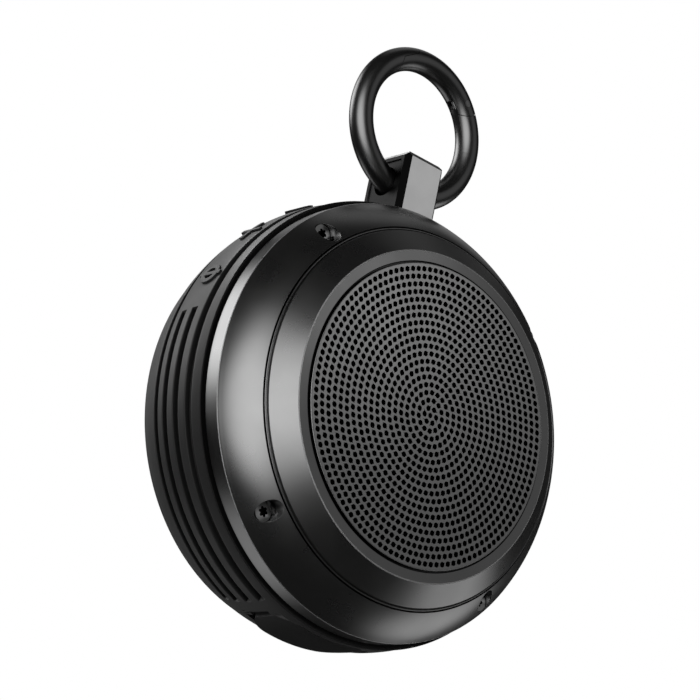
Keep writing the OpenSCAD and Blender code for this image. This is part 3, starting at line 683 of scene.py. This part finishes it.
def perforated_disc(name):
    """Disc with rings of round holes; each hole sits in its own cell of the ring."""
    verts, faces = [], []

    def add(x, z, y):
        verts.append((x * MM, y * MM, z * MM))
        return len(verts) - 1

    def cell(outline, cx, cz, phase):
        count = len(outline)
        rings = [[add(x, z, GRILLE_FRONT_Y) for x, z in outline]]
        for wider, depth in HOLE_PROFILE:
            ring = []
            for i in range(count):
                px, pz = polar(phase + 360.0 * i / count, HOLE_R + wider)
                ring.append(add(cx + px, cz + pz, GRILLE_FRONT_Y + depth))
            rings.append(ring)
        rings.append([add(x, z, GRILLE_FRONT_Y + GRILLE_T) for x, z in outline])
        for a, b in zip(rings, rings[1:]):
            for i in range(count):
                j = (i + 1) % count
                faces.append((a[i], a[j], b[j], b[i]))

    cell([polar(360 * i / CENTRE_SIDES, HOLE_PITCH / 2) for i in range(CENTRE_SIDES)], 0, 0, 0)
    for k in range(1, HOLE_RINGS + 1):
        count = round(HOLES_PER_RING * k)
        half = 180.0 / count
        for h in range(count):
            middle = HOLE_PHASE + 360.0 * h / count
            outline = cell_outline(middle, half, (k - 0.5) * HOLE_PITCH, (k + 0.5) * HOLE_PITCH)
            cx, cz = polar(middle, k * HOLE_PITCH)
            cell(outline, cx, cz, middle - 45 - 90.0 / CELL_SIDE)

    # the plain margin outside the last ring of holes
    back = GRILLE_FRONT_Y + GRILLE_T
    margin_r = (HOLE_RINGS + 0.5) * HOLE_PITCH
    edge = arc((GRILLE_R - GRILLE_EDGE_R, GRILLE_FRONT_Y + GRILLE_EDGE_R), GRILLE_EDGE_R, 270, 360, 5)
    profile = [(margin_r, GRILLE_FRONT_Y)] + edge + [(GRILLE_R, back), (margin_r, back)]
    first = len(verts)
    for i in range(GRILLE_STEPS):
        for r, y in profile:
            x, z = polar(360.0 * i / GRILLE_STEPS, r)
            add(x, z, y)
    n = len(profile)
    for i in range(GRILLE_STEPS):
        here = first + i * n
        after = first + (i + 1) % GRILLE_STEPS * n
        for p in range(n - 1):
            faces.append((here + p, here + p + 1, after + p + 1, after + p))
    return build(name, verts, faces, SHARP_GRILLE)


grille = perforated_disc("punched_grille")
dress(grille, "grille", "grille_paint", "body", "grille")

# ---------------------------------------------------------------- rubber sleeve

def band_radius(y):
    """Radius of the sleeve's crowned outside."""
    return BAND_R - BAND_ARC + math.sqrt(BAND_ARC ** 2 - (y - BAND_MID_Y) ** 2)


def groove_rows(y_mid):
    """(y, depth share) across one groove, with rounded lips and floor corners."""
    half = GROOVE_W / 2
    rows = [(y_mid - half - out, share) for out, share in GROOVE_PROFILE]
    rows.append((y_mid, 1.0))
    return rows + [(y_mid + half + out, share) for out, share in reversed(GROOVE_PROFILE)]


def groove_share(index, angle):
    """How deep a groove is at an angle, 0 to 1; two of the four also run over the top."""
    if index in GROOVES_OVER_TOP:
        other_end = mirrored(PANEL_LOW)
        cut = angle <= PANEL_LOW or angle >= other_end
        gap = min(abs(angle - PANEL_LOW), abs(angle - other_end))
    else:
        here = angle if 90 <= angle <= 270 else mirrored(angle)
        cut = PANEL_TOP <= here <= PANEL_LOW
        gap = min(abs(here - PANEL_TOP), abs(here - PANEL_LOW))
    return min(1.0, gap / GROOVE_END) if cut else 0.0


def sleeve_rows():
    """Section of the sleeve, each row (radius, y, number of its groove or -1, depth share)."""
    lip_y = BAND_FRONT_Y + BAND_LIP_DEPTH
    lip = [(HOUSING_R + 0.05, lip_y), (45.7, lip_y)]
    lip += arc((46.95, BAND_FRONT_Y + BAND_LIP_R), BAND_LIP_R, 215, 300, 5)
    back = [(band_radius(BAND_BACK_Y), BAND_BACK_Y), (42.95, 15.9), (42.35, 16.7), (41.6, 17.4),
            (40.95, 17.85), (40.6, 18.1), (40.35, 18.2), (40.15, 18.1), (40.1, 17.3),
            (HOUSING_R - 2, 16.2), (HOUSING_R - 0.2, 12.5)]
    marks = []
    for index, y_mid in enumerate(GROOVE_Y):
        marks += [(y, index, share) for y, share in groove_rows(y_mid)]
    clear = GROOVE_W / 2 + 0.25
    for i in range(round((BAND_BACK_Y - BAND_FRONT_Y) / BAND_STEP) - 2):
        y = BAND_FRONT_Y + BAND_STEP + BAND_STEP * i
        if all(abs(y - y_mid) > clear for y_mid in GROOVE_Y):
            marks.append((y, -1, 0.0))
    outside = [(band_radius(y), y, index, share) for y, index, share in sorted(marks)]
    return [(*point, -1, 0) for point in lip] + outside + [(*point, -1, 0) for point in back]


def sleeve_angles():
    """Even steps round the sleeve, and fine steps where the grooves end."""
    angles = [0.75 * i for i in range(480)]
    for end in (PANEL_TOP, PANEL_LOW):
        for edge in (end, mirrored(end)):
            angles += [(edge + shift / 10) % 360 for shift in range(-3, 4)]
    return sorted(set(round(a, 4) for a in angles))


def sleeve():
    """Rubber sleeve with its grooves sunk; its openings are cut afterwards."""
    rows = sleeve_rows()
    outlines = []
    for a in sleeve_angles():
        shares = [groove_share(i, a) for i in range(len(GROOVE_Y))]
        outline = []
        for r, y, index, share in rows:
            sunk = GROOVE_DEPTH * share * shares[index] if index >= 0 else 0
            outline.append(turned_point(r - sunk, y, a))
        outlines.append(outline)
    return swept("rubber_sleeve", outlines, True, SHARP_BAND)


def key_openings(angle, symbol):
    """Holes for one key's symbol; u runs clockwise round the band and v towards the back."""
    gap = KEY_GAP
    outlines = []
    if symbol == "pair":
        outlines.append(arc((0, 0), PAIR_RING_R + gap, 0, 350, 35))
    if symbol == "play":
        heel, half = PLAY_HEEL - gap, PLAY_HALF + 1.7 * gap
        outlines.append([(PLAY_TIP + 2 * gap, 0), (heel, half), (heel, -half)])
    for u, half_u, half_v in KEY_BARS[symbol]:
        outlines.append(box_outline(u, 0, half_u + gap, half_v + gap))
    out_x, out_z = polar(angle, 1)

    def place(u, v, w):
        return w * out_x + u * out_z, KEY_Y + v, w * out_z - u * out_x

    return [prism("key_opening", outline, place, *KEY_CUT) for outline in outlines]


def flap_openings():
    """Stadium hole for the flap, with room round its hinge for the web and the flap's end."""
    reach = BAND_R * math.sin(math.radians(FLAP_HALF_ANGLE)) - FLAP_HALF_W
    wide = FLAP_HALF_W + FLAP_GAP
    outline = arc((reach, KEY_Y), wide, -90, 90, 24) + arc((-reach, KEY_Y), wide, 90, 270, 24)
    px, pz = polar(FLAP_PIN_ANGLE, FLAP_PIN_ORBIT)
    pin_end = FLAP_PIN_HALF + 0.1

    def room(name, start, half_v, top):
        middle, half = (start + FLAP_ROOM) / 2, (FLAP_ROOM - start) / 2
        base = box_outline(px + middle, KEY_Y, half, half_v)
        return prism(name, base, upright, pz - FLAP_ROOM_DEEP, pz + top)

    return [prism("flap_opening", outline, upright, *FLAP_CUT_Z),
            room("web_room", -0.65, FLAP_WEB_HALF + 0.1, 0.55),
            room("end_room", 0.7, FLAP_PIN_HALF + 0.2, 0.1),
            rod("pin_room", (px, KEY_Y, pz), -pin_end, pin_end, FLAP_PIN_ROOM_R, 32)]


def lug_opening():
    """Chamfered hole in the top of the sleeve for the lug."""
    hx, hy, cut = LUG_W / 2 + LUG_GAP, LUG_T / 2 + LUG_GAP, LUG_CHAMFER
    outline = [(hx - cut, -hy), (hx, cut - hy), (hx, hy - cut), (hx - cut, hy),
               (cut - hx, hy), (-hx, hy - cut), (-hx, cut - hy), (cut - hx, -hy)]
    return prism("lug_opening", outline, upright, *LUG_CUT_Z)


band = sleeve()
cutters = [lug_opening()] + flap_openings()
for key_angle, key_symbol in KEYS:
    cutters += key_openings(key_angle, key_symbol)
carve(band, cutters, SHARP_BAND)
band.visible_glossy = False
dress(band, "band", "band_rubber", "body", "silicone_band")

# ---------------------------------------------------------------- soft parts of the driver, plunger spring

def flexing_ring(name, section, finish):
    """Ring in sectors, turned from the section, that sits between the moving cone and the fixed basket; the
    CAD node of this name is hidden.
    """
    sweep = 360.0 / FLEX_SECTORS
    for i in range(FLEX_SECTORS):
        start = sweep * i
        sector = lathe("%s_%02d" % (name, i + 1), section, start, start + sweep, SECTOR_STEPS)
        sector.data.materials.append(MATERIALS[finish])
        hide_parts(name)
        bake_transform(sector)


surround = [(23, -18.72), (23, -19.1)] + arc(ROLL, ROLL_OUT_R, 180, 349, 24)
surround += [(30.6, -19.6), (30.6, -19.32), (27.9, -19.32)] + arc(ROLL, ROLL_IN_R, 355, 184, 24)
surround += [(24.2, -18.72)]
flexing_ring("surround", surround, "seal")

wave = []
for step in range(SPIDER_STEPS + 1):
    along = step / SPIDER_STEPS
    lift = SPIDER_HEIGHT * math.sin(2 * math.pi * SPIDER_WAVES * along)
    wave.append((SPIDER_R + SPIDER_W * along, lift))
spider = [(r, SPIDER_FRONT_Y + lift) for r, lift in wave]
spider += [(r, SPIDER_BACK_Y + lift) for r, lift in reversed(wave)]
flexing_ring("spider", spider, "spider")


def at_rivet(x, y, z):
    """Point in mm from the rivet: x away from the carabiner ring's centre, z along the gate."""
    out_x, out_z = polar(RIVET_ANGLE, 1)
    rivet_x, rivet_z = polar(RIVET_ANGLE, RING_R)
    return rivet_x + x * out_x - z * out_z, y, RING_Z + rivet_z + x * out_z + z * out_x


def spring_path():
    """Helix of the gate's spring, a little inside both ends of its bore."""
    steps = SPRING_TURN_STEPS * SPRING_TURNS
    path = []
    for step in range(steps + 1):
        across, deep = polar(360 / SPRING_TURN_STEPS * step, SPRING_R)
        height = SPRING_LOW + SPRING_INSET + (SPRING_LENGTH - 2 * SPRING_INSET) * step / steps
        path.append(at_rivet(across - PLUNGER_OFF, deep, height))
    return path


spring = tube("plunger_spring", spring_path(), SPRING_WIRE_R)
dress(spring, "steel", "steel", "ring", "gate_spring")
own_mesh(spring)

# ---------------------------------------------------------------- CAD parts that keep their shape

SOFT_EDGES = {
    "hang_lug": 0.22, "front_screws": 0.07, "rear_screws": 0.07, "rear_cover": 0.25, "rear_foot": 0.15,
    "pair_key": 0.12, "plus_key": 0.12, "play_key": 0.12, "minus_key": 0.12, "port_flap": 0.2,
    "ring_body": 0.1, "ring_gate": 0.1, "gate_rivet": 0.1,
}
for name, width in SOFT_EDGES.items():
    shade(nodes[name], SHARP_CAD)
    soften(nodes[name], width, 32)
for name in NODE_FINISH:
    if not nodes[name].modifiers and not nodes[name].hide_render:
        shade(nodes[name], SHARP_CAD)

# ---------------------------------------------------------------- stage, light and camera

floor_outline = box_outline(0, 0, FLOOR_HALF, FLOOR_HALF)
floor = prism("studio_floor", floor_outline, upright, FLOOR_Z - FLOOR_T, FLOOR_Z)
floor_mat, floor_tree, floor_bsdf = material("pale_floor")
floor_coords = node(floor_tree, "ShaderNodeTexCoord").outputs["Object"]
tone(floor_tree, floor_bsdf, noise(floor_tree, floor_coords, 3.0), grey(0.78), grey(0.82))
floor_bsdf.inputs["Roughness"].default_value = 0.9
floor_bsdf.inputs["Emission Color"].default_value = WHITE
floor_bsdf.inputs["Emission Strength"].default_value = 0.65
floor.data.materials.append(floor_mat)
floor.visible_glossy = False
floor.visible_diffuse = False
floor.visible_shadow = False


def studio_world(patches, base, backdrop):
    """Even backdrop for the camera, and patches of light for everything else.

    A patch is (direction, inner, outer, level): full inside inner degrees from its direction, and faded
    out at outer degrees. Base is the level between the patches.
    """
    world = bpy.data.worlds.new("studio")
    bpy.context.scene.world = world
    world.use_nodes = True
    tree = world.node_tree
    tree.nodes.clear()
    direction = node(tree, "ShaderNodeTexCoord").outputs["Generated"]
    total = None
    for aim, inner, outer, level in patches:
        dot = node(tree, "ShaderNodeVectorMath", operation="DOT_PRODUCT")
        tree.links.new(direction, dot.inputs[0])
        dot.inputs[1].default_value = Vector(aim).normalized()
        ends = math.cos(math.radians(outer)), math.cos(math.radians(inner))
        soft = spread(tree, dot.outputs["Value"], 0.0, level, *ends, interpolation_type="SMOOTHERSTEP")
        if total is None:
            total = soft
        else:
            add = node(tree, "ShaderNodeMath", operation="ADD")
            tree.links.new(total, add.inputs[0])
            tree.links.new(soft, add.inputs[1])
            total = add.outputs["Value"]
    strength = node(tree, "ShaderNodeMath", operation="ADD")
    tree.links.new(total, strength.inputs[0])
    strength.inputs[1].default_value = base
    lit = node(tree, "ShaderNodeBackground", in_Color=WHITE)
    tree.links.new(strength.outputs["Value"], lit.inputs["Strength"])
    plain = node(tree, "ShaderNodeBackground", in_Color=WHITE, in_Strength=backdrop)
    rays = node(tree, "ShaderNodeLightPath")
    mix = node(tree, "ShaderNodeMixShader")
    out = node(tree, "ShaderNodeOutputWorld")
    tree.links.new(rays.outputs["Is Camera Ray"], mix.inputs["Fac"])
    tree.links.new(lit.outputs["Background"], mix.inputs[1])
    tree.links.new(plain.outputs["Background"], mix.inputs[2])
    tree.links.new(mix.outputs["Shader"], out.inputs["Surface"])


studio_world([
    ((-0.74, -0.66, -0.05), 2, 42, 1.75),
    ((-0.48, 0.78, 0.40), 0, 27, 2.5),
    ((0.90, 0.00, -0.44), 4, 26, 0.8),
    ((0.46, 0.52, 0.72), 4, 22, 0.25),
    ((0.25, 0.20, 0.95), 3, 22, 0.2),
    ((-0.06, 0.78, -0.62), 3, 25, 0.55),
    ((0.40, 0.75, 0.53), 3, 20, 0.38),
    ((0.62, -0.73, 0.30), 8, 32, 0.155),
], base=0.015, backdrop=1.0)


def softbox(name, place, aim, width, height, level, receivers):
    """Area light, in millimetres, that lights only the given objects; level is its own brightness."""
    lamp_data = bpy.data.lights.new(name, "AREA")
    lamp_data.shape = "RECTANGLE"
    lamp_data.size = width * MM
    lamp_data.size_y = height * MM
    lamp_data.energy = level * math.pi * width * height * MM * MM
    lamp = bpy.data.objects.new(name, lamp_data)
    bpy.context.scene.collection.objects.link(lamp)
    facing = (Vector(place) - Vector(aim)).to_track_quat("Z", "Y")
    lamp.matrix_world = Matrix.Translation(Vector(place) * MM) @ facing.to_matrix().to_4x4()
    lamp.visible_camera = False
    group = bpy.data.collections.new(name + "_on")
    for obj in receivers:
        group.objects.link(obj)
    lamp.light_linking.receiver_collection = group


rubber = [band] + [nodes[symbol + "_key"] for angle, symbol in KEYS]
rubber += [nodes["port_flap"], nodes["main_housing"]]
rear = [nodes[name] for name in ("rear_cover", "rear_foot", "rear_screws", "hang_lug")]
softbox("band_top", (-300, 400, 820), (0, 0, 0), 420, 420, 10.5, rubber)
softbox("face_left", (28, -98, 51), (-25, -23, 14), 44, 44, 0.32, [bezel, grille])
softbox("grille_left", (45, -98, 52), (0, -24, 10), 70, 70, 0.13, [grille])
softbox("lug_face", (173, -224, 174), (0, -8, 58), 160, 160, 0.41, [nodes["hang_lug"]])
softbox("right_fill", (600, 60, 160), (0, 0, 0), 400, 400, 3.0, rubber)
softbox("rear_fill", (180, 560, 260), (0, 20, 0), 420, 420, 3.0, rear)

# the camera looks along -back, from below and to the left of the object
camera_data = bpy.data.cameras.new("camera")
camera = bpy.data.objects.new("camera", camera_data)
bpy.context.scene.collection.objects.link(camera)
right = Vector((0.7365, -0.6491, 0.1908))
up = Vector((-0.3506, -0.1250, 0.9282))
back = Vector((-0.5786, -0.7504, -0.3196))
distance, shift_right, shift_up = 559.16, -0.879, 16.392
spot = back * distance + right * shift_right + up * shift_up
turn = Matrix((right, up, back)).transposed().to_4x4()
camera.matrix_world = Matrix.Translation(spot * MM) @ turn
camera_data.lens = 136.4
camera_data.sensor_width = 36.0
camera_data.clip_start = 0.01
camera_data.clip_end = 20.0
bpy.context.scene.camera = camera
bpy.context.scene.view_settings.view_transform = "Standard"
